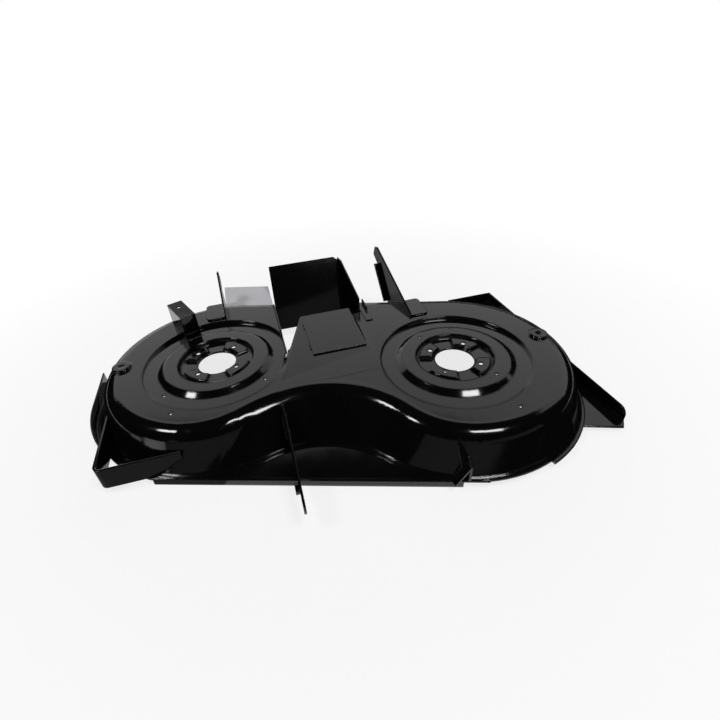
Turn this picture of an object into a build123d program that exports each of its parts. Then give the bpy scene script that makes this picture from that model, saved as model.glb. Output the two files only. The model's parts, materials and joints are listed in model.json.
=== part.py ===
from build123d import *
from math import atan2, cos, degrees, hypot, pi, radians, sin
import os

os.makedirs("parts", exist_ok=True)

# sheet and heights, millimetres above the lower edge of the front lip
sheet = 2.5
plate = 4.0
flange_top = 14.0
seat_top = 81.0
pad_rise = 7.0
disc_rise = 10.0
valley_rise = 2.4
plateau_mid = 88.0
plateau_slope = 0.03
sky = 260.0

# two spindles, set across the machine with a fore and aft stagger
spindle_across = 456.0
spindle_stagger = 152.0
spindle_half = hypot(spindle_across, spindle_stagger) / 2
across = (spindle_across / 2 / spindle_half, -spindle_stagger / 2 / spindle_half)
rearward = (-across[1], across[0])
left_spindle = (-spindle_across / 2, spindle_stagger / 2)
right_spindle = (spindle_across / 2, -spindle_stagger / 2)
spindles = [left_spindle, right_spindle]

# spindle seat, from the bore outwards
bore_r = 38.0
bolt_circle_r = 51.5
bolt_hole_r = 4.5
bolt_turn = 45.0
pad_inner_r = 41.0
pad_outer_r = 70.0
pad_half_angle = 27.0
pad_taper = 25.0
seat_wall_r = 72.0
disc_inner_r = 77.0
disc_rim_r = 104.0
disc_foot_r = 116.0
valley_r = 144.0
valley_lip_r = 150.0
valley_lip_rise = 14.0

# figure-eight outlines, top and foot
foot_lobe_r = 240.0
foot_waist = 164.0
wall_draft = 24.0
waist_draft = 76.0
top_lobe_r = foot_lobe_r - wall_draft
top_waist = foot_waist - waist_draft
inner_share = 0.7
rear_share = 1.02
top_shift = 18.0
top_spread = 7.0
shoulder_r = 32.0
bevel_share = 0.6

# pressed ports and drain holes, each from its own spindle
port_places = [(-188.0, 37.0), (192.0, 11.0)]
port_r = 21.0
port_rise = 5.0
port_taper = 40.0
port_hole_r = 5.0
drain_r = 2.5
left_drains = [(-99.0, -79.0), (-84.0, -135.0), (89.0, -91.0)]
right_drains = [(42.0, -162.0), (36.0, 92.0), (-39.0, 84.0), (45.0, -78.0)]

# foot flange
flange_w = 10.0
flange_r = foot_lobe_r + flange_w
front_trim = 7.0
front_edge = flange_r - front_trim
front_edge_left = 296.0
front_edge_right = 228.0
notch_depth = 7.0
notch_r = flange_r - notch_depth
notch_from = -83.0
notch_span = 28.0
skirt_bevel = 5.0

# discharge opening and the hood above it
open_left = -87.0
open_right = 102.5
open_front = 60.0
open_step_x = -30.0
open_step_y = 150.0
open_rear = 420.0
hood_rear = 165.0
hood_front = -60.0
hood_rear_top = 101.0
hood_front_top = 84.0
hood_floor = 79.0
hood_ridge_rear = (-36.0, 76.0)
hood_ridge_front = (-120.0, 80.0)
hood_foot_rear = (-54.0, 97.0)
hood_foot_front = (-132.0, 97.0)
roof_plate_gauge = 3.0
roof_front = 20.0
roof_rear = 160.0

# discharge channel behind the deck
ramp_foot = (252.0, 24.0)
ramp_head = (361.0, 147.0)
ramp_head_left = -78.0
ramp_corner = 9.0
wall_front = 158.0
wall_front_top = 125.0
wall_peak = (317.0, 153.0)
wall_base = 93.0
foot_strip_w = 15.0
foot_strip_front = 108.0
foot_strip_rear = 186.0
foot_strip_up = 12.0

# rear apron, hangers and their feet
apron_top = 83.0
apron_reach = 338.0
hanger_x = 200.0
hanger_hole = (318.0, 134.0)
hanger_hole_r = 5.0
hanger_tip = (335.0, 156.0)
hanger_foot_w = 44.0
hanger_left_front = 234.0
hanger_left_rear = 300.0
hanger_right_front = 89.0
hanger_right_rear = 156.0
hanger_lip = 10.0

# box bracket on the left lobe
box_bearing = 113.0
box_near = 118.0
box_far = 200.0
box_half = 16.5
box_top = 141.0
box_gauge = 3.0
box_hole_r = 4.5
box_hole_at = 172.0

# bars and brackets along the front
strap_inset_x = 38.0
strap_inset_y = 41.0
strap_x = left_spindle[0] - flange_r + strap_inset_x
strap_y = left_spindle[1] - flange_r + strap_inset_y
strap_rear = 20.0
strap_right = -300.0
strap_top = 57.0
strap_bend = 9.0
front_hanger_x = -120.5
front_hanger_hole = (-284.0, 48.0)
front_hanger_hole_r = 5.0
front_hanger_ear_r = 20.0
front_boss_at = (-257.0, 44.0)
front_boss_r = 9.0
front_boss_h = 6.0
front_hanger_root = (-100.0, 84.0)
front_hanger_knee = (-150.0, 78.0)
front_hanger_belly = (-215.0, 22.0)
front_hanger_heel = (-120.0, 22.0)
front_bracket_x = 143.5
front_bracket_root = (-230.0, 74.0)
front_bracket_brow = (-298.0, 67.0)
front_bracket_nose = (-309.0, 52.0)
front_bracket_low = 22.0
front_tab_w = 13.0
front_tab_h = 40.0
front_tab_at = (-296.0, 46.0)
front_tab_down = 17.0

# side plates
wing_gap = 3.0
side_x = spindle_across / 2 + flange_r + wing_gap
side_front = -268.0
side_rear = 222.0
side_lip_top = 36.0
wing_nose_x = 14.0
wing_nose_y = 12.0
wing_corner = 4.0
wing_front_w = 89.0
wing_front_back = 16.0
wing_rear_w = 141.0
wing_root_w = 181.0
wing_root_back = 52.0
wing_return = 120.0
wing_lip_r = 16.0
lip_gap = 6.0
side_left_lip_r = flange_r + lip_gap
side_left = spindle_across / 2 + side_left_lip_r
side_left_rear = 190.0
side_left_turn = 28.0
side_left_w = 44.0


def polar(r, angle):
    """Plan point at a radius and an angle in degrees."""
    return (r * cos(radians(angle)), r * sin(radians(angle)))


def level(z):
    """Plane at a height with its X axis along the line of the two spindles."""
    return Plane(origin=(0, 0, z), x_dir=(*across, 0), z_dir=(0, 0, 1))


def sloped(z, along):
    """Plane that rises to the rear by the slope of the deck's top."""
    normal = (-plateau_slope * rearward[0], -plateau_slope * rearward[1], 1)
    rise = -(normal[0] * along[0] + normal[1] * along[1])
    return Plane(origin=(0, 0, z), x_dir=(*along, rise), z_dir=normal)


def eight(lobe_r, inner_r, rear_r, reach, shift, waist):
    """Outline of two lobes, tighter towards the waist, with a straight rear and a waist arc in front."""
    rear_y = shift + rear_r
    front_y = shift - lobe_r
    inner_y = front_y + inner_r
    drop = waist + inner_y
    waist_r = (reach**2 + drop**2 - inner_r**2) / (2 * (inner_r - drop))
    share = inner_r / (inner_r + waist_r)
    touch_x = reach * (1 - share)
    touch_y = inner_y - (drop + waist_r) * share
    turn = (atan2(touch_y - inner_y, touch_x - reach) - pi / 2) / 2
    mid_x = reach + inner_r * cos(turn)
    mid_y = inner_y + inner_r * sin(turn)
    side_x = reach + lobe_r
    rear_x = side_x - rear_r
    skew = cos(pi / 4)
    Line((rear_x, rear_y), (-rear_x, rear_y))
    ThreePointArc((-rear_x, rear_y), (-rear_x - skew * rear_r, shift + skew * rear_r), (-side_x, shift))
    ThreePointArc((-side_x, shift), (-reach - skew * lobe_r, shift - skew * lobe_r), (-reach, front_y))
    ThreePointArc((-reach, front_y), (-mid_x, mid_y), (-touch_x, touch_y))
    ThreePointArc((-touch_x, touch_y), (0, -waist), (touch_x, touch_y))
    ThreePointArc((touch_x, touch_y), (mid_x, mid_y), (reach, front_y))
    ThreePointArc((reach, front_y), (reach + skew * lobe_r, shift - skew * lobe_r), (side_x, shift))
    ThreePointArc((side_x, shift), (rear_x + skew * rear_r, shift + skew * rear_r), (rear_x, rear_y))


def under(points, depth):
    """The same profile a sheet's depth below, with mitred corners."""
    lines = []
    for (r0, z0), (r1, z1) in zip(points, points[1:]):
        run = hypot(r1 - r0, z1 - z0)
        shift_r = (z1 - z0) / run * depth
        shift_z = -(r1 - r0) / run * depth
        lines.append((r0 + shift_r, z0 + shift_z, r1 - r0, z1 - z0))
    moved = [(points[0][0], points[0][1] - depth)]
    for (ra, za, ua, va), (rb, zb, ub, vb) in zip(lines, lines[1:]):
        k = ((rb - ra) * vb - (zb - za) * ub) / (ua * vb - va * ub)
        moved.append((ra + k * ua, za + k * va))
    last = lines[-1]
    return moved + [(last[0] + last[2], last[1] + last[3])]


def pressed(depth):
    """Solid under the pressed deck's skin, or under its inside at a sheet's depth."""
    profile = [
        (0, seat_top),
        (seat_wall_r, seat_top),
        (disc_inner_r, seat_top + disc_rise),
        (disc_rim_r, seat_top + disc_rise),
        (disc_foot_r, seat_top + valley_rise),
        (valley_r, seat_top + valley_rise),
        (valley_lip_r, seat_top + valley_lip_rise),
    ]
    skin_line = under(profile, depth) if depth else profile
    core_z = seat_top - 30
    with BuildPart() as recess:
        with BuildSketch(Plane.XZ):
            with BuildLine():
                Polyline(*skin_line, (skin_line[-1][0], sky), (0, sky), close=True)
            make_face()
        revolve(axis=Axis.Z)
    with BuildPart() as core:
        with BuildSketch(Plane.XZ):
            with BuildLine():
                Polyline(*skin_line[:-1], (skin_line[-2][0], core_z), (0, core_z), close=True)
            make_face()
        revolve(axis=Axis.Z)
        for quarter in range(4):
            facing = (*polar(1, bolt_turn + 90 * quarter), 0)
            with BuildSketch(Plane(origin=(0, 0, seat_top - depth), x_dir=facing, z_dir=(0, 0, 1))):
                with BuildLine():
                    spread = pad_half_angle - degrees(depth / pad_outer_r)
                    inner = pad_inner_r + depth
                    outer = pad_outer_r - depth
                    CenterArc((0, 0), outer, -spread, 2 * spread)
                    CenterArc((0, 0), inner, -spread, 2 * spread)
                    Line(polar(inner, spread), polar(outer, spread))
                    Line(polar(inner, -spread), polar(outer, -spread))
                make_face()
            extrude(amount=pad_rise, taper=pad_taper)
    with BuildPart() as skin:
        with BuildSketch(level(flange_top - sheet)):
            with BuildLine():
                foot_r = foot_lobe_r - depth
                eight(foot_r, foot_r, foot_r, spindle_half, 0, foot_waist - depth)
            make_face()
        with BuildSketch(sloped(plateau_mid - depth, across)):
            with BuildLine():
                top_r = top_lobe_r - depth
                inner_r = inner_share * top_lobe_r - depth
                rear_r = rear_share * top_lobe_r - depth
                eight(top_r, inner_r, rear_r, spindle_half + top_spread, top_shift, top_waist - depth)
            make_face()
        loft(ruled=True)
        rim = skin.faces().sort_by(Axis.Z)[-1].edges()
        if depth:
            chamfer(rim, bevel_share * shoulder_r)
        else:
            fillet(rim, shoulder_r)
        for x, y in spindles:
            add(recess.part.moved(Location((x, y, 0))), mode=Mode.SUBTRACT)
            add(core.part.moved(Location((x, y, 0))))
    return skin.part


def plan(z, points):
    """Flat outline in the machine's own plan at a height."""
    with BuildSketch(Plane.XY.offset(z)) as flat:
        with BuildLine():
            Polyline(*points, close=True)
        make_face()
    return flat.sketch


def upright(x, points):
    """Outline of a fore and aft plate, given as (y, z), in the plane at x."""
    with BuildSketch(Plane(origin=(x, 0, 0), x_dir=(0, 1, 0), z_dir=(1, 0, 0))) as side:
        with BuildLine():
            Polyline(*points, close=True)
        make_face()
    return side.sketch


def hood_plane(z_rear, z_front):
    """Plane of the hood's roof, from its rear edge down to its front."""
    return Plane(
        origin=(0, hood_rear, z_rear),
        x_dir=(1, 0, 0),
        z_dir=(0, z_front - z_rear, hood_rear - hood_front),
    )


def hood(depth):
    """Raised roof of the discharge tunnel, open to the rear."""
    extra = 30.0 if depth else 0.0
    slope_y = -hypot(hood_rear - hood_front, hood_rear_top - hood_front_top)
    with BuildPart() as roof:
        with BuildSketch(Plane.XY.offset(hood_floor)):
            with BuildLine():
                Polyline(
                    (hood_foot_rear[0] + depth, hood_rear + extra),
                    (hood_foot_rear[1] - depth, hood_rear + extra),
                    (hood_foot_front[1] - depth, hood_front - depth),
                    (hood_foot_front[0] + depth, hood_front - depth),
                    close=True,
                )
            make_face()
        with BuildSketch(hood_plane(hood_rear_top - depth, hood_front_top - depth)):
            with BuildLine():
                Polyline(
                    (hood_ridge_rear[0] + depth, extra),
                    (hood_ridge_rear[1] - depth, extra),
                    (hood_ridge_front[1] - depth, slope_y - depth),
                    (hood_ridge_front[0] + depth, slope_y - depth),
                    close=True,
                )
            make_face()
        loft(ruled=True)
    return roof.part


outside = pressed(0)

opening = [
    (open_left, open_front),
    (open_step_x, open_front),
    (open_step_x, open_step_y),
    (open_right, open_step_y),
    (open_right, open_rear),
    (open_left, open_rear),
]

# the deck: pressing, foot flange, front lip, discharge opening, hood and holes
with BuildPart() as deck_shell:
    add(outside)
    with BuildSketch(level(flange_top - sheet)):
        SlotCenterToCenter(2 * spindle_half, 2 * flange_r)
    extrude(amount=sheet)
    near_top = deck_shell.edges().filter_by_position(Axis.Z, flange_top - 0.01, flange_top + 0.01)
    chamfer([edge for edge in near_top if edge.distance_to(outside) < 0.01], skirt_bevel)
    with BuildSketch(level(0)):
        with Locations((0, -front_edge - flange_r)):
            Rectangle(4 * flange_r, 2 * flange_r)
    extrude(amount=seat_top / 2, mode=Mode.SUBTRACT)
    with BuildSketch(level(0)):
        with Locations(((front_edge_right - front_edge_left) / 2, -front_edge + sheet / 2)):
            Rectangle(front_edge_left + front_edge_right, sheet)
    extrude(amount=flange_top)
    for spindle, place in zip(spindles, port_places):
        spot = (spindle[0] + place[0], spindle[1] + place[1])
        with BuildSketch(sloped(plateau_mid - port_rise, (1, 0))):
            with Locations(spot):
                Circle(port_r)
        extrude(amount=2 * port_rise, taper=port_taper / 2)
    add(pressed(sheet), mode=Mode.SUBTRACT)
    extrude(plan(0, opening), amount=sky, mode=Mode.SUBTRACT)
    add(hood(0))
    add(hood(sheet), mode=Mode.SUBTRACT)
    for spindle, place, drains in zip(spindles, port_places, [left_drains, right_drains]):
        with BuildSketch(Plane.XY):
            with Locations(spindle):
                Circle(bore_r)
                with PolarLocations(bolt_circle_r, 4, start_angle=bolt_turn):
                    Circle(bolt_hole_r)
                with Locations(place):
                    Circle(port_hole_r)
                with Locations(*drains):
                    Circle(drain_r)
        extrude(amount=sky, mode=Mode.SUBTRACT)
    with BuildSketch(Plane(origin=(*right_spindle, 0), x_dir=(*across, 0), z_dir=(0, 0, 1))):
        with BuildLine():
            CenterArc((0, 0), flange_r + sheet, notch_from, notch_span)
            CenterArc((0, 0), notch_r, notch_from, notch_span)
            for angle in (notch_from, notch_from + notch_span):
                Line(polar(notch_r, angle), polar(flange_r + sheet, angle))
        make_face()
    extrude(amount=flange_top + skirt_bevel, mode=Mode.SUBTRACT)
deck_shell.part.label = "deck_shell"


def trim():
    """Cut the open builder back to the deck's outer surface, so it seats on it."""
    add(outside, mode=Mode.SUBTRACT)
    add(deck_shell.part, mode=Mode.SUBTRACT)


# flat wing along the right side, lapped under the flange, with an upturned lip
with BuildPart() as right_side_plate:
    with BuildSketch(Plane.XY.offset(flange_top - 2 * sheet)):
        with BuildLine():
            Polyline(
                (side_x - wing_front_w, side_front + wing_front_back),
                (side_x - wing_nose_x, side_front - wing_nose_y),
                (side_x, side_front + wing_corner),
                (side_x, side_rear),
                (side_x - wing_rear_w, side_rear),
                (side_x - wing_root_w, side_rear - wing_root_back),
                close=True,
            )
        make_face()
        with Locations(right_spindle):
            Circle(foot_lobe_r + wing_gap, mode=Mode.SUBTRACT)
    extrude(amount=sheet)
    with BuildSketch(Plane.XY.offset(flange_top - 2 * sheet)):
        with Locations((side_x - sheet / 2, (side_rear + side_front + wing_corner) / 2)):
            Rectangle(sheet, side_rear - side_front - wing_corner)
        with Locations((side_x - wing_return / 2, side_rear - sheet / 2)):
            Rectangle(wing_return, sheet)
    extrude(amount=side_lip_top - flange_top + 2 * sheet)
    lip_front = (side_x, side_front + wing_corner, side_lip_top)
    fillet(right_side_plate.edges().filter_by(Axis.X).sort_by_distance(lip_front)[0], wing_lip_r)
right_side_plate.part.label = "right_side_plate"

# its fellow on the left, following the lobe at the front
with BuildPart() as left_side_plate:
    with BuildSketch(Plane.XY.offset(flange_top - 2 * sheet)):
        with BuildLine():
            back = Line((-side_left, side_left_rear), (-side_left, left_spindle[1]))
            lip = CenterArc(left_spindle, side_left_lip_r, 180, side_left_turn)
            Polyline(lip @ 1, left_spindle, (-side_left + side_left_w, side_left_rear), back @ 0)
        make_face()
        with Locations(left_spindle):
            Circle(foot_lobe_r + wing_gap, mode=Mode.SUBTRACT)
    extrude(amount=sheet)
    with BuildSketch(Plane.XY.offset(flange_top - 2 * sheet)):
        with BuildLine():
            Line((-side_left, side_left_rear), (-side_left, left_spindle[1]))
            CenterArc(left_spindle, side_left_lip_r, 180, side_left_turn)
            offset(amount=sheet, side=Side.LEFT)
        make_face()
    extrude(amount=side_lip_top - flange_top + 2 * sheet)
left_side_plate.part.label = "left_side_plate"

# plate that lies on the hood's roof
with BuildPart() as roof_plate:
    lean = hypot(hood_rear - hood_front, hood_rear_top - hood_front_top) / (hood_rear - hood_front)
    with BuildSketch(hood_plane(hood_rear_top, hood_front_top)):
        with Locations((sum(hood_ridge_rear) / 2, ((roof_front + roof_rear) / 2 - hood_rear) * lean)):
            Rectangle(hood_ridge_rear[1] - hood_ridge_rear[0], (roof_rear - roof_front) * lean)
    extrude(amount=roof_plate_gauge)
roof_plate.part.label = "roof_plate"

# discharge channel: ramp between two walls
ramp_rise = (ramp_head[0] - ramp_foot[0], ramp_head[1] - ramp_foot[1])
ramp_run = hypot(*ramp_rise)
ramp_back = (sheet * ramp_rise[1] / ramp_run, -sheet * ramp_rise[0] / ramp_run)
with BuildPart() as chute_ramp:
    face = Plane(
        origin=(0, *ramp_foot),
        x_dir=(1, 0, 0),
        z_dir=(0, -ramp_rise[1], ramp_rise[0]),
    )
    with BuildSketch(face):
        with BuildLine():
            Polyline(
                (open_left + sheet, 0),
                (open_right - sheet, 0),
                (open_right - sheet, ramp_run - ramp_corner),
                (open_right - sheet - ramp_corner, ramp_run),
                (ramp_head_left, ramp_run),
                close=True,
            )
        make_face()
    extrude(amount=-sheet)
chute_ramp.part.label = "chute_ramp"

with BuildPart() as chute_left_wall:
    side = [
        (open_front + 2, flange_top),
        (open_front + 2, seat_top + 1),
        (128, seat_top + 1),
        (140, seat_top + 9),
        (256, seat_top + 12),
        (268, seat_top + 8),
        (276, seat_top - 8),
        (281, flange_top),
    ]
    extrude(upright(open_left, side), amount=sheet)
chute_left_wall.part.label = "chute_left_wall"

with BuildPart() as chute_right_wall:
    side = [
        (open_step_y + 1, flange_top),
        (open_step_y + 1, wall_base),
        (wall_front, wall_base + 2),
        (wall_front, wall_front_top),
        wall_peak,
        (ramp_head[0] - 7, ramp_head[1]),
        (ramp_head[0] + ramp_back[0] - 5, ramp_head[1] + ramp_back[1] - 6),
        (ramp_foot[0] + ramp_back[0], ramp_foot[1] + ramp_back[1]),
        (ramp_foot[0] - 6, flange_top),
    ]
    extrude(upright(open_right - sheet, side), amount=sheet)
chute_right_wall.part.label = "chute_right_wall"

# angle that carries the channel's right wall on the deck
with BuildPart() as channel_foot:
    strip_mid = (foot_strip_front + foot_strip_rear) / 2
    strip_len = foot_strip_rear - foot_strip_front
    with BuildSketch(sloped(plateau_mid, (1, 0))):
        with Locations((open_right + foot_strip_w / 2, strip_mid)):
            Rectangle(foot_strip_w, strip_len)
    extrude(amount=sheet)
    with BuildSketch(sloped(plateau_mid, (1, 0))):
        with Locations((open_right + foot_strip_w - sheet / 2, strip_mid + strip_len / 4)):
            Rectangle(sheet, strip_len / 2)
    extrude(amount=foot_strip_up)
    add(chute_right_wall.part, mode=Mode.SUBTRACT)
    trim()
channel_foot.part.label = "channel_foot"

# shelf behind the left lobe
with BuildPart() as rear_apron:
    corners = []
    for x, reach in [
        (-hanger_x, apron_reach),
        (open_left, apron_reach),
        (open_left, foot_lobe_r - 20),
        (-hanger_x, foot_lobe_r - 20),
    ]:
        corners.append((x, (reach - x * rearward[0]) / rearward[1]))
    extrude(plan(apron_top - sheet, corners), amount=sheet)
    trim()
rear_apron.part.label = "rear_apron"


def hanger_outline(front, low):
    """Side view of a rear hanger: long top edge, round tip, gusset down the rear."""
    tip_y, tip_z = hanger_tip
    return [
        (front, plateau_mid - 4),
        (front, plateau_mid + 11),
        (tip_y - 8, tip_z + 12),
        (tip_y + 8, tip_z + 8),
        (tip_y + 20, tip_z - 16),
        (tip_y - 13, tip_z - 31),
        *low,
    ]


with BuildPart() as right_rear_hanger:
    low = [(245, 54), (205, 36), (170, 36)]
    side = hanger_outline(hanger_right_front, low)
    extrude(upright(hanger_x, side), amount=plate)
    (y0, z0), (y1, z1) = side[5], side[6]
    fold = [(y0, z0), (y1, z1), (y1 - sheet, z1 + sheet), (y0 - sheet, z0 + sheet)]
    extrude(upright(hanger_x, fold), amount=-hanger_lip)
    with BuildSketch(sloped(plateau_mid, (1, 0))):
        with Locations((hanger_x + hanger_foot_w / 2, (hanger_right_front + hanger_right_rear) / 2)):
            RectangleRounded(hanger_foot_w, hanger_right_rear - hanger_right_front, 8)
    extrude(amount=plate)
    with Locations((hanger_x, *hanger_hole)):
        Cylinder(hanger_hole_r, 4 * plate, rotation=(0, 90, 0), mode=Mode.SUBTRACT)
    trim()
right_rear_hanger.part.label = "right_rear_hanger"

with BuildPart() as left_rear_hanger:
    low = [(hanger_tip[0] - 10, 70), (hanger_left_rear, 60), (hanger_left_front, 80)]
    extrude(upright(-hanger_x, hanger_outline(hanger_left_front, low)), amount=-plate)
    with BuildSketch(sloped(plateau_mid, (1, 0))):
        with Locations((-hanger_x - hanger_foot_w / 2, (hanger_left_front + hanger_left_rear) / 2)):
            RectangleRounded(hanger_foot_w, hanger_left_rear - hanger_left_front, 8)
    extrude(amount=plate)
    with Locations((-hanger_x, *hanger_hole)):
        Cylinder(hanger_hole_r, 4 * plate, rotation=(0, 90, 0), mode=Mode.SUBTRACT)
    trim()
left_rear_hanger.part.label = "left_rear_hanger"

# folded box on the left lobe, open below and at its rear end
with BuildPart() as box_bracket:
    box_dir = (*polar(1, box_bearing), 0)
    with BuildSketch(Plane(origin=(*left_spindle, seat_top), x_dir=box_dir, z_dir=(0, 0, 1))):
        with Locations(((box_near + box_far) / 2, 0)):
            Rectangle(box_far - box_near, 2 * box_half)
    extrude(amount=box_top - seat_top)
    with BuildSketch(Plane(origin=(*left_spindle, seat_top), x_dir=box_dir, z_dir=(0, 0, 1))):
        with Locations(((box_near + box_far) / 2 + box_gauge, 0)):
            Rectangle(box_far - box_near, 2 * (box_half - box_gauge))
    extrude(amount=box_top - box_gauge - seat_top, mode=Mode.SUBTRACT)
    with BuildSketch(Plane(origin=(*left_spindle, box_top), x_dir=box_dir, z_dir=(0, 0, 1))):
        with Locations((box_hole_at, 0)):
            Circle(box_hole_r)
    extrude(amount=-2 * box_gauge, mode=Mode.SUBTRACT)
    trim()
box_bracket.part.label = "box_bracket"

# bent flat bar round the front left corner
with BuildPart() as corner_strap:
    with BuildSketch(Plane.XY.offset(flange_top)) as bar:
        with BuildLine():
            Polyline(
                (strap_x, strap_rear),
                (strap_x, strap_y),
                (strap_right, strap_y),
                (strap_right, strap_y + plate),
                (strap_x + plate, strap_y + plate),
                (strap_x + plate, strap_rear),
                close=True,
            )
        make_face()
        outer_bend = bar.vertices().sort_by_distance((strap_x, strap_y, flange_top))[0]
        fillet(outer_bend, strap_bend + plate)
        inner_bend = bar.vertices().sort_by_distance((strap_x + plate, strap_y + plate, flange_top))[0]
        fillet(inner_bend, strap_bend)
    extrude(amount=strap_top - flange_top)
    trim()
corner_strap.part.label = "corner_strap"

# thin hanger plate at the waist, square to the machine
with BuildPart() as front_hanger:
    ear_y, ear_z = front_hanger_hole
    side = [
        front_hanger_root,
        front_hanger_knee,
        (ear_y, ear_z + front_hanger_ear_r),
        (ear_y, ear_z - front_hanger_ear_r),
        front_hanger_belly,
        front_hanger_heel,
    ]
    extrude(upright(front_hanger_x, side), amount=plate)
    with Locations((front_hanger_x + plate / 2, ear_y, ear_z)):
        Cylinder(front_hanger_ear_r, plate, rotation=(0, 90, 0))
    with Locations((front_hanger_x - front_boss_h / 2, *front_boss_at)):
        Cylinder(front_boss_r, front_boss_h, rotation=(0, 90, 0))
    with Locations((front_hanger_x, *front_hanger_hole)):
        Cylinder(front_hanger_hole_r, 4 * plate, rotation=(0, 90, 0), mode=Mode.SUBTRACT)
    trim()
front_hanger.part.label = "front_hanger"

# small folded bracket on the right lobe's front wall, with a raked tab
with BuildPart() as front_right_bracket:
    side = [
        front_bracket_root,
        front_bracket_brow,
        front_bracket_nose,
        (front_bracket_nose[0], front_bracket_low),
        (front_bracket_root[0], front_bracket_low),
    ]
    extrude(upright(front_bracket_x, side), amount=plate)
    rake = Plane(origin=(front_bracket_x, *front_tab_at), x_dir=(0, -1, 0), z_dir=(-1, 0, 0.7))
    with BuildSketch(rake):
        with Locations((front_tab_w / 2, -front_tab_down)):
            Rectangle(front_tab_w, front_tab_h)
    extrude(amount=plate - 1)
    with BuildSketch(Plane.XY):
        with Locations((front_bracket_x, front_bracket_nose[0])):
            Rectangle(4 * front_tab_h, 4 * front_tab_h)
    extrude(amount=flange_top, mode=Mode.SUBTRACT)
    trim()
front_right_bracket.part.label = "front_right_bracket"

# every piece goes out in one frame: the middle of the footprint, lowest edge at zero
pieces = [
    deck_shell,
    right_side_plate,
    left_side_plate,
    roof_plate,
    chute_ramp,
    chute_left_wall,
    chute_right_wall,
    channel_foot,
    rear_apron,
    right_rear_hanger,
    left_rear_hanger,
    box_bracket,
    corner_strap,
    front_hanger,
    front_right_bracket,
]
boxes = [piece.part.bounding_box() for piece in pieces]
mid_x = (min(box.min.X for box in boxes) + max(box.max.X for box in boxes)) / 2
mid_y = (min(box.min.Y for box in boxes) + max(box.max.Y for box in boxes)) / 2
low_z = min(box.min.Z for box in boxes)
for piece in pieces:
    placed = piece.part.moved(Location((-mid_x, -mid_y, -low_z)))
    placed.label = piece.part.label
    export_step(placed, "parts/" + placed.label + ".step")
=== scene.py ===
"""Looks of a pressed and welded mower deck in gloss black paint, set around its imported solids."""

import json
import math

import bpy
import numpy as np
from mathutils import Matrix


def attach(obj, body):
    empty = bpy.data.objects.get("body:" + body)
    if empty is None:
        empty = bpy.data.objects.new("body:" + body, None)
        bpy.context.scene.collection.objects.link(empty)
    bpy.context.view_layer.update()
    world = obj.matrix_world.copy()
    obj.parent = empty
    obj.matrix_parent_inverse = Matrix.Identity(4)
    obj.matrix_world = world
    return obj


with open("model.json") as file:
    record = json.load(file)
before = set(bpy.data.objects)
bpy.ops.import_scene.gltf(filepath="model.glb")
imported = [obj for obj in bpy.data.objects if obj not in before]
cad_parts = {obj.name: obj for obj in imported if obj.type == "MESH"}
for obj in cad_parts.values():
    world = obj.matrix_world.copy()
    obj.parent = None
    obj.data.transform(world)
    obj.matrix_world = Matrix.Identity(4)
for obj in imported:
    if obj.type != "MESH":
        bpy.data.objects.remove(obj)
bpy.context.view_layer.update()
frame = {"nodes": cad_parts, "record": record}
nodes = frame["nodes"]
scene = bpy.context.scene
scene.view_settings.view_transform = "Standard"

MM = 0.001
# the drawing's zero, midway between the spindles, seen from the middle of the footprint, in mm
DATUM = np.array([1.5, -51.975, 0.0])
# the deck's sloped top: middle height in mm, rise per mm, and the plan direction it rises in
TOP_Z = 88.0
TOP_SLOPE = 0.03
REARWARD = np.array([0.3162, 0.9487])
# the roof plate's side edges: rise per mm to the rear, and their height in mm at one distance
ROOF_SLOPE = 0.0757
ROOF_Z, ROOF_Z_AT_Y = 90.3, 20

# sockets of a colour mix: its two colours and its result
MIX_FIRST, MIX_SECOND, MIX_RESULT = 6, 7, 2
PAINT_IOR = 1.45
# upright share of a face's direction above which the face counts as level
LEVEL_FROM = 0.999

# welds: ring spacing, ripple spacing, points in a ring, points that the unevenness is spread over
BEAD_STEP_MM = 0.9
RIPPLE_MM = 3.4
RING_POINTS = 10
UNEVEN_POINTS = 9
# leg sizes of the welds in mm, from the heaviest plates to the lightest
FOOT_LEG, WALL_LEG, LIGHT_LEG = 3.0, 2.6, 2.4

# studio, in metres: the floor's reach, front end and height, and the height of runners on it
FLOOR_REACH = 7
FLOOR_FRONT = -0.72
FLOOR_Z = -0.0006
RUNNER_Z = -0.0003
# distances of the canopy, the flags and the strips from the deck, and of the lamps
CANOPY_M, FLAG_M, STRIP_M = 6.0, 5.6, 5.4
LAMP_M, WINDOW_M = 4.5, 5.0
# the canopy's sides, rear edge and front edge in degrees, and how its rear edge sinks on the left
CANOPY_SIDES = (-89, 84)
CANOPY_RISE = 48.5
CANOPY_FRONT = 225
CANOPY_SAG = 0.23


def linear(code):
    """Linear colour with alpha from an sRGB hex code: the standard curve on each channel."""
    part = np.array([int(code[i : i + 2], 16) for i in (1, 3, 5)]) / 255
    low = part / 12.92
    high = ((part + 0.055) / 1.055) ** 2.4
    return (*np.where(part <= 0.04045, low, high).tolist(), 1.0)


def put(tree, kind, inputs=None, **settings):
    """Adds a node, sets its settings, and fills its sockets with values or links."""
    made = tree.nodes.new(kind)
    for name, value in settings.items():
        setattr(made, name, value)
    for key, value in (inputs or {}).items():
        if isinstance(value, bpy.types.NodeSocket):
            tree.links.new(value, made.inputs[key])
        else:
            made.inputs[key].default_value = value
    return made


def empty_material(name):
    """A material with only its output node, and the coordinates of the object it is on."""
    made = bpy.data.materials.new(name)
    made.use_nodes = True
    tree = made.node_tree
    tree.nodes.clear()
    surface = put(tree, "ShaderNodeOutputMaterial").inputs["Surface"]
    place = put(tree, "ShaderNodeTexCoord").outputs["Object"]
    return made, tree, place, surface


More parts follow.
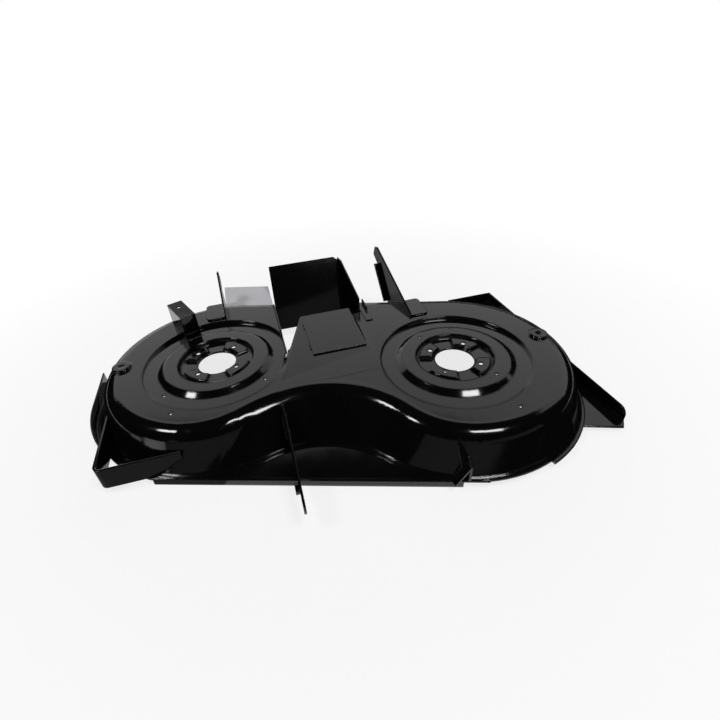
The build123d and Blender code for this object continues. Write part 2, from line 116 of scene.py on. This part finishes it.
def clouds(tree, place, width_mm, detail, **more):
    """Cloudy pattern in patches about as wide as given, as a value from 0 to 1."""
    inputs = {"Vector": place, "Scale": 1 / (width_mm * MM), "Detail": detail, **more}
    return put(tree, "ShaderNodeTexNoise", inputs).outputs["Fac"]


def blend(tree, share, first, second):
    """Colour between two others, by a share from 0 to 1."""
    inputs = {"Factor": share, MIX_FIRST: first, MIX_SECOND: second}
    return put(tree, "ShaderNodeMix", inputs, data_type="RGBA").outputs[MIX_RESULT]


def remap(tree, value, source, target):
    """Value carried from one span to another, and held at the ends of the target."""
    inputs = {
        "Value": value,
        "From Min": source[0],
        "From Max": source[1],
        "To Min": target[0],
        "To Max": target[1],
    }
    return put(tree, "ShaderNodeMapRange", inputs).outputs["Result"]


def number(tree, operation, first, second):
    """Result of a sum on two numbers."""
    return put(tree, "ShaderNodeMath", {0: first, 1: second}, operation=operation).outputs[0]


def bump(tree, height, depth_mm, normal):
    """Surface direction after a pattern of the given depth is raised on it."""
    inputs = {"Height": height, "Distance": depth_mm * MM, "Strength": 1.0, "Normal": normal}
    return put(tree, "ShaderNodeBump", inputs).outputs["Normal"]


def soft_edges(tree, edge_mm):
    """Surface direction that turns over a radius at the edges, while level faces stay truly flat
    right up to the rounds beside them."""
    rounded = put(tree, "ShaderNodeBevel", {"Radius": edge_mm * MM}, samples=8)
    shape = put(tree, "ShaderNodeNewGeometry")
    upright = put(tree, "ShaderNodeSeparateXYZ", {"Vector": shape.outputs["True Normal"]})
    level = number(tree, "GREATER_THAN", upright.outputs["Z"], LEVEL_FROM)
    tilt = put(
        tree,
        "ShaderNodeVectorMath",
        {0: shape.outputs["True Normal"], 1: shape.outputs["Normal"]},
        operation="SUBTRACT",
    )
    flattening = put(
        tree,
        "ShaderNodeVectorMath",
        {0: tilt.outputs["Vector"], "Scale": level},
        operation="SCALE",
    )
    return put(
        tree,
        "ShaderNodeVectorMath",
        {0: rounded.outputs["Normal"], 1: flattening.outputs["Vector"]},
        operation="ADD",
    ).outputs["Vector"]


def black_enamel(name, tones, roughness, wave_mm, wave_depth_mm, edge_mm):
    """Stoved black enamel on steel: a smooth dielectric film, near black, that mirrors the
    studio softly, follows the slow waves of the steel, shows faint orange peel and runs softly
    over the edges."""
    made, tree, place, surface = empty_material(name)
    # slow change of tone in patches about 140 mm wide
    tone = blend(tree, clouds(tree, place, 140, 3.0, Roughness=0.55), *map(linear, tones))
    # specks of dust in the film, drawn about 9 mm apart so that they show
    specks = put(tree, "ShaderNodeTexVoronoi", {"Vector": place, "Scale": 1 / (9 * MM)})
    speck_mask = remap(tree, specks.outputs["Distance"], (0.03, 0.07), (1.0, 0.0))
    dusted = blend(tree, speck_mask, tone, linear("#2a2828"))
    # handling haze in patches about 35 mm wide
    wiped = clouds(tree, place, 35, 4.0, Roughness=0.6)
    haze = remap(tree, wiped, (0.3, 0.75), roughness)
    waved = bump(
        tree, clouds(tree, place, wave_mm, 1.0), wave_depth_mm, soft_edges(tree, edge_mm)
    )
    # orange peel, drawn at 5 mm where the real film has about 2 mm
    skin = bump(tree, clouds(tree, place, 5, 2.0), 0.012, waved)
    paint = put(
        tree,
        "ShaderNodeBsdfPrincipled",
        {"Base Color": dusted, "Roughness": haze, "Normal": skin, "IOR": PAINT_IOR},
    )
    tree.links.new(paint.outputs["BSDF"], surface)
    return made


pressed_enamel = black_enamel(
    "stoved black enamel on pressed steel",
    tones=("#070708", "#0e0d0e"),
    roughness=(0.07, 0.12),
    wave_mm=110,
    wave_depth_mm=0.05,
    edge_mm=6.0,
)
sheet_enamel = black_enamel(
    "stoved black enamel on folded sheet",
    tones=("#070708", "#0e0d0e"),
    roughness=(0.05, 0.07),
    wave_mm=90,
    wave_depth_mm=0.06,
    edge_mm=1.0,
)
plate_enamel = black_enamel(
    "stoved black enamel on cut plate",
    tones=("#080809", "#100f10"),
    roughness=(0.07, 0.11),
    wave_mm=70,
    wave_depth_mm=0.05,
    edge_mm=1.8,
)
weld_enamel = black_enamel(
    "stoved black enamel over weld bead",
    tones=("#0b0b0c", "#151414"),
    roughness=(0.12, 0.22),
    wave_mm=30,
    wave_depth_mm=0.05,
    edge_mm=0.3,
)


def pale_sheet(name, light, dull):
    """Satin pale grey coat on folded sheet: cloudy in patches, with a fine grain in its gloss."""
    made, tree, place, surface = empty_material(name)
    # patches about 60 mm wide, grain about 3 mm
    tone = blend(tree, clouds(tree, place, 60, 3.0), linear(dull), linear(light))
    satin = remap(tree, clouds(tree, place, 3, 2.0), (0.0, 1.0), (0.35, 0.5))
    coat = put(
        tree,
        "ShaderNodeBsdfPrincipled",
        {"Base Color": tone, "Roughness": satin, "IOR": PAINT_IOR},
    )
    tree.links.new(coat.outputs["BSDF"], surface)
    return made


grey_coat = pale_sheet("satin pale grey coat on folded sheet", "#d6d5da", "#c4c3c8")

finish_of_slot = {
    "shell_black": pressed_enamel,
    "plate_black": sheet_enamel,
    "bracket_black": plate_enamel,
    "apron_grey": grey_coat,
}
for entry in frame["record"]["subparts"]:
    nodes[entry["node"]].data.materials[0] = finish_of_slot[entry["material_slot"]]


def mesh_from_grid(name, points, closed_round, material):
    """Mesh of a grid of points (rows, columns, 3): each cell is a quad, and the columns join up
    when the section closes on itself, with a cap at each end."""
    rows, columns = points.shape[:2]
    index = np.arange(rows * columns).reshape(rows, columns)
    beside = np.roll(index, -1, axis=1) if closed_round else index[:, 1:]
    here = index if closed_round else index[:, :-1]
    quads = np.stack([here[:-1], beside[:-1], beside[1:], here[1:]], -1).reshape(-1, 4)
    faces = quads.tolist()
    if closed_round:
        faces += [index[0, ::-1].tolist(), index[-1].tolist()]
    data = bpy.data.meshes.new(name)
    data.from_pydata(points.reshape(-1, 3).tolist(), [], faces)
    data.polygons.foreach_set("use_smooth", np.ones(len(data.polygons), bool))
    data.materials.append(material)
    data.update()
    made = bpy.data.objects.new(name, data)
    scene.collection.objects.link(made)
    return made


def top_height(x, y):
    """Height of the deck's sloped top: its middle height plus the slope times the distance to
    the rear, square to the spindle line."""
    return TOP_Z + TOP_SLOPE * (np.asarray(x) * REARWARD[0] + np.asarray(y) * REARWARD[1])


def spread_along(corners, step):
    """Points at an even step along a path of straight runs, with their distance from its start."""
    corners = np.asarray(corners, float)
    spans = np.linalg.norm(np.diff(corners, axis=0), axis=1)
    along = np.concatenate([[0], np.cumsum(spans)])
    s = np.linspace(0, along[-1], max(8, int(along[-1] / step)))
    return np.stack([np.interp(s, along, corners[:, k]) for k in range(3)], 1), s


def tube(name, path, radius, material):
    """Round section swept along a path: a ring of points square to the path at each step, as wide
    as the radius there."""
    ahead = np.gradient(path, axis=0)
    ahead /= np.linalg.norm(ahead, axis=1, keepdims=True)
    # steep runs are measured from the x axis, all others from the upright
    steep = np.abs(ahead[:, 2:3]) > 0.8
    side = np.cross(ahead, np.where(steep, [[1.0, 0.0, 0.0]], [[0.0, 0.0, 1.0]]))
    side /= np.linalg.norm(side, axis=1, keepdims=True)
    over = np.cross(side, ahead)
    turn = np.linspace(0, 2 * np.pi, RING_POINTS + 1)[:-1][None, :, None]
    ring = np.cos(turn) * side[:, None, :] + np.sin(turn) * over[:, None, :]
    points = (path[:, None, :] + radius[:, None, None] * ring + DATUM) * MM
    made = mesh_from_grid(name, points, True, material)
    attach(made, "root")


def weld_bead(name, corners, leg, seed):
    """Fillet weld along a path: a round section of about the leg's size follows the path, and
    its radius swells and shrinks with each ripple, like a row of overlapping drops."""
    path, s = spread_along(corners, BEAD_STEP_MM)
    spread = np.hanning(UNEVEN_POINTS)
    noise = np.random.default_rng(seed).normal(0, 1, len(s))
    noise = np.convolve(noise, spread / spread.sum(), mode="same")
    ripple = 0.5 + 0.5 * np.cos(2 * np.pi * s / RIPPLE_MM + noise)
    # the ends run out over about one leg's length
    ends = np.clip(np.minimum(s, s[-1] - s) / (1.2 * leg), 0, 1) ** 0.5
    radius = leg * (0.72 + 0.14 * ripple + 0.10 * noise) * (0.25 + 0.75 * ends)
    tube(name, path, radius, weld_enamel)


def on_top(points):
    """Plan points lifted on to the deck's sloped top."""
    points = np.asarray(points, float)
    return np.column_stack([points, top_height(points[:, 0], points[:, 1])])


# feet of the two rear hangers
weld_bead("left_hanger_foot_weld", on_top([(-244, 243), (-244, 291)]), FOOT_LEG, 1)
weld_bead("left_hanger_front_weld", on_top([(-235, 234), (-208, 234)]), FOOT_LEG, 2)
weld_bead("right_hanger_foot_weld", on_top([(244, 98), (244, 147)]), FOOT_LEG, 3)
weld_bead("right_hanger_front_weld", on_top([(208, 89), (235, 89)]), FOOT_LEG, 4)
weld_bead("right_hanger_rear_weld", on_top([(212, 156), (236, 156)]), FOOT_LEG, 5)
# front hanger and front bracket, up the sloped wall on both faces of each plate
weld_bead("front_hanger_left_weld", [(-121.6, -133.5, 27), (-121.6, -102.0, 61)], WALL_LEG, 6)
weld_bead("front_hanger_right_weld", [(-115.4, -132.5, 27), (-115.4, -100.5, 61)], WALL_LEG, 7)
weld_bead("front_bracket_left_weld", [(142.6, -292.0, 25), (142.6, -264.5, 65)], LIGHT_LEG, 8)
weld_bead("front_bracket_right_weld", [(148.4, -293.5, 25), (148.4, -266.5, 65)], LIGHT_LEG, 9)
# base of the box bracket, round its three sides on the floor of the ring
weld_bead(
    "box_bracket_base_weld",
    [(-297.8, 199.5, 83.6), (-290.2, 177.6, 83.6), (-258.4, 190.2, 83.6), (-267.6, 212.4, 83.6)],
    WALL_LEG,
    10,
)


def stitch(name, x, y_from, y_to, seed):
    """Short weld along a side of the roof plate, which rises with the hood under it."""
    ends = [(x, y, ROOF_Z + ROOF_SLOPE * (y - ROOF_Z_AT_Y)) for y in (y_from, y_to)]
    weld_bead(name, ends, LIGHT_LEG, seed)


stitch("roof_left_front_stitch", -36.6, 38, 62, 11)
stitch("roof_left_rear_stitch", -36.6, 112, 138, 12)
stitch("roof_right_front_stitch", 76.6, 38, 62, 13)
stitch("roof_right_rear_stitch", 76.6, 112, 138, 14)


def set_in_place(thing, across, up, back, place):
    """Puts a camera or lamp at a place, with its own three axes along the given directions."""
    matrix = np.eye(4)
    matrix[:3, :] = np.stack([across, up, back, place], 1)
    thing.matrix_world = Matrix(matrix.tolist())
    scene.collection.objects.link(thing)


def frame_look():
    """Sets the camera where the picture was taken: 36 degrees above the deck, a little to its
    left, rolled by under 4 degrees, with a wide lens."""
    azimuth, elevation, roll = np.radians([-13.305, 36.31, -3.75])
    focal_px, centre_px, image_px, sensor_mm = 433.61, (351.38, 361.27), 720.0, 36.0
    place = (np.array([-127.6, -695.2, 596.3]) + DATUM) * MM
    level = np.cos(elevation)
    back = np.array([np.sin(azimuth) * level, -np.cos(azimuth) * level, np.sin(elevation)])
    right = np.array([np.cos(azimuth), np.sin(azimuth), 0.0])
    up = np.cross(back, right)
    turned_right = np.cos(roll) * right + np.sin(roll) * up
    turned_up = -np.sin(roll) * right + np.cos(roll) * up
    data = bpy.data.cameras.new("studio camera")
    data.sensor_fit = "HORIZONTAL"
    data.sensor_width = sensor_mm
    data.lens = sensor_mm * focal_px / image_px
    data.shift_x = (image_px / 2 - centre_px[0]) / image_px
    data.shift_y = (centre_px[1] - image_px / 2) / image_px
    data.clip_start = 0.01
    camera = bpy.data.objects.new("studio camera", data)
    set_in_place(camera, turned_right, turned_up, back, place)
    scene.camera = camera


frame_look()


def seen_rays(tree):
    """One where a ray comes from the camera, a mirror or glass, and zero for stray light."""
    rays = put(tree, "ShaderNodeLightPath").outputs
    first = number(tree, "MAXIMUM", rays["Is Camera Ray"], rays["Is Glossy Ray"])
    return number(tree, "MAXIMUM", first, rays["Is Transmission Ray"])


def level_sheet(x_span, y_span, height, lines):
    """Level rectangle at a height, in metres, with a number of grid lines each way."""
    x, y = np.meshgrid(np.linspace(*x_span, lines), np.linspace(*y_span, lines))
    return np.stack([x, y, np.full_like(x, height)], -1)


def studio_floor():
    """White paper floor: a flat sheet that shows near white, keeps a soft shadow round the deck,
    runs out to pure white behind it, and ends a little way in front of it."""
    made, tree, place, surface = empty_material("white studio paper")
    # faint cloudiness of the paper, patches about 600 mm wide
    tone = blend(tree, clouds(tree, place, 600, 2.0), linear("#fbfbfa"), linear("#ffffff"))
    paper = put(tree, "ShaderNodeBsdfDiffuse", {"Color": tone})
    glow = put(tree, "ShaderNodeEmission", {"Color": linear("#ffffff"), "Strength": 1.0})
    # the shadow's share fades out between 500 and 1100 mm from the middle of the deck
    away = put(tree, "ShaderNodeVectorMath", {0: place}, operation="LENGTH")
    white = remap(tree, away.outputs["Value"], (500 * MM, 1100 * MM), (0.8, 1.0))
    share = number(tree, "MULTIPLY", seen_rays(tree), white)
    mixed = put(tree, "ShaderNodeMixShader", {0: share, 1: paper.outputs[0], 2: glow.outputs[0]})
    tree.links.new(mixed.outputs[0], surface)
    points = level_sheet((-FLOOR_REACH, FLOOR_REACH), (FLOOR_FRONT, FLOOR_REACH), FLOOR_Z, 3)
    floor = mesh_from_grid("studio_floor", points, False, made)


def studio_cloth(name, dark, light):
    """Dull cloth with slow folds, for what the paint mirrors."""
    made, tree, place, surface = empty_material(name)
    # folds of the cloth, about 400 mm apart
    tone = blend(tree, clouds(tree, place, 400, 2.0), linear(dark), linear(light))
    cloth = put(tree, "ShaderNodeBsdfDiffuse", {"Color": tone})
    tree.links.new(cloth.outputs[0], surface)
    return made


def hang(name, points, cloth):
    """Sets up a cloth that only the paint's mirror images show."""
    made = mesh_from_grid(name, points, False, cloth)
    made.visible_camera = False
    return made


def lay(name, x_span, y_span, cloth):
    """Lays a runner on the floor that casts no shadow and dims no other light."""
    runner = hang(name, level_sheet(x_span, y_span, RUNNER_Z, 5), cloth)
    runner.visible_shadow = False
    runner.visible_diffuse = False


def band(radius, bearings, heights):
    """Part of a sphere round the deck: bearings from straight behind it, positive to the right,
    and heights over the horizon, all in degrees."""
    turn, rise = np.meshgrid(
        np.radians(np.linspace(*bearings, 40)), np.radians(np.linspace(*heights, 8))
    )
    flat = np.cos(rise)
    return radius * np.stack([np.sin(turn) * flat, np.cos(turn) * flat, np.sin(rise)], -1)


def canopy():
    """Part of a sphere from half way up behind the deck, over the top, down past the floor's end
    in front. Its rear edge keeps its height over the horizon on the right, and sinks towards the
    left."""
    share, swing = np.meshgrid(
        np.linspace(0, 1, 60), np.radians(np.linspace(*CANOPY_SIDES, 50))
    )
    rise = math.radians(CANOPY_RISE)
    aside = np.clip(np.sin(swing) / math.cos(rise), 0, 1)
    edge = np.arctan2(math.sin(rise), math.cos(rise) * np.sqrt(1 - aside**2))
    edge = edge + CANOPY_SAG * np.minimum(swing, 0)
    arc = edge + (math.radians(CANOPY_FRONT) - edge) * share
    inward = np.cos(swing)
    return CANOPY_M * np.stack([np.sin(swing), inward * np.cos(arc), inward * np.sin(arc)], -1)


def cloths():
    """What the paint mirrors: a dark canopy over and in front of the set, flags low on both
    sides, a grey strip and a card in front, a white card at the left rear, and runners on the
    floor beside the deck, the grey one behind it being a painted shadow of the floor."""
    black = studio_cloth("black studio cloth", "#101012", "#1c1c1e")
    grey = studio_cloth("grey studio cloth", "#a4a4a6", "#b2b2b4")
    white = studio_cloth("white studio cloth", "#eaeaec", "#f4f4f4")
    hang("dark_canopy", canopy(), black)
    hang("left_flag", band(FLAG_M, (-100, -34), (0.5, 29)), black)
    hang("right_flag", band(FLAG_M, (22, 118), (0.5, 24)), black)
    hang("front_strip", band(STRIP_M, (128, 236), (7.6, 22)), grey)
    hang("overhead_card", band(STRIP_M, (150, 185), (52, 57)), grey)
    hang("left_rear_card", band(FLAG_M, (-15, -6), (20, 27.8)), white)
    lay("right_runner", (0.36, 1.5), (-0.715, 0.9), black)
    lay("left_runner", (-1.0, -0.24), (-0.715, -0.13), grey)
    lay("left_rear_runner", (-1.6, -0.49), (-0.12, 1.6), black)
    # painted shadow: a grey runner, seen only in the paint's mirror image, that stands in for the
    # floor's shade behind the deck
    lay("rear_shadow_runner", (-0.3, 0.35), (0.25, 0.9), grey)


def softbox(name, direction, long_axis, distance, half_angles, radiance):
    """Soft lamp far out in one direction, with its long side along a given axis: its sides follow
    from the angles it fills as seen from the deck, and its power from the light wanted on its
    face, times its area and pi."""
    facing = np.asarray(direction, float) / np.linalg.norm(direction)
    along = np.asarray(long_axis, float) - np.dot(long_axis, facing) * facing
    along /= np.linalg.norm(along)
    sides = 2 * distance * np.tan(np.radians(half_angles))
    data = bpy.data.lights.new(name, "AREA")
    data.shape = "RECTANGLE"
    data.size, data.size_y = sides.tolist()
    data.energy = math.pi * sides[0] * sides[1] * radiance
    lamp = bpy.data.objects.new(name, data)
    set_in_place(lamp, along, np.cross(facing, along), facing, DATUM * MM + distance * facing)


def studio_light():
    """White surround, two soft lamps high over the left and the right front, and a faint window
    low on the left front."""
    world = bpy.data.worlds.new("white surround")
    scene.world = world
    world.use_nodes = True
    tree = world.node_tree
    tree.nodes.clear()
    out = put(tree, "ShaderNodeOutputWorld")
    # full white where it is seen or mirrored, less as stray light
    level = remap(tree, seen_rays(tree), (0.0, 1.0), (0.7, 1.0))
    sky = put(tree, "ShaderNodeBackground", {"Color": linear("#ffffff"), "Strength": level})
    tree.links.new(sky.outputs[0], out.inputs["Surface"])
    softbox("left softbox", (-0.59, 0.0, 0.81), (0.24, -0.24, 0.19), LAMP_M, (5.2, 4.5), 25)
    softbox("right softbox", (0.26, -0.33, 0.91), (0.4, -0.05, -0.12), LAMP_M, (8.5, 4.5), 25)
    softbox("left window", (-0.918, -0.39, 0.08), (0.39, -0.918, 0.0), WINDOW_M, (9.0, 4.0), 1.6)


studio_floor()
cloths()
studio_light()
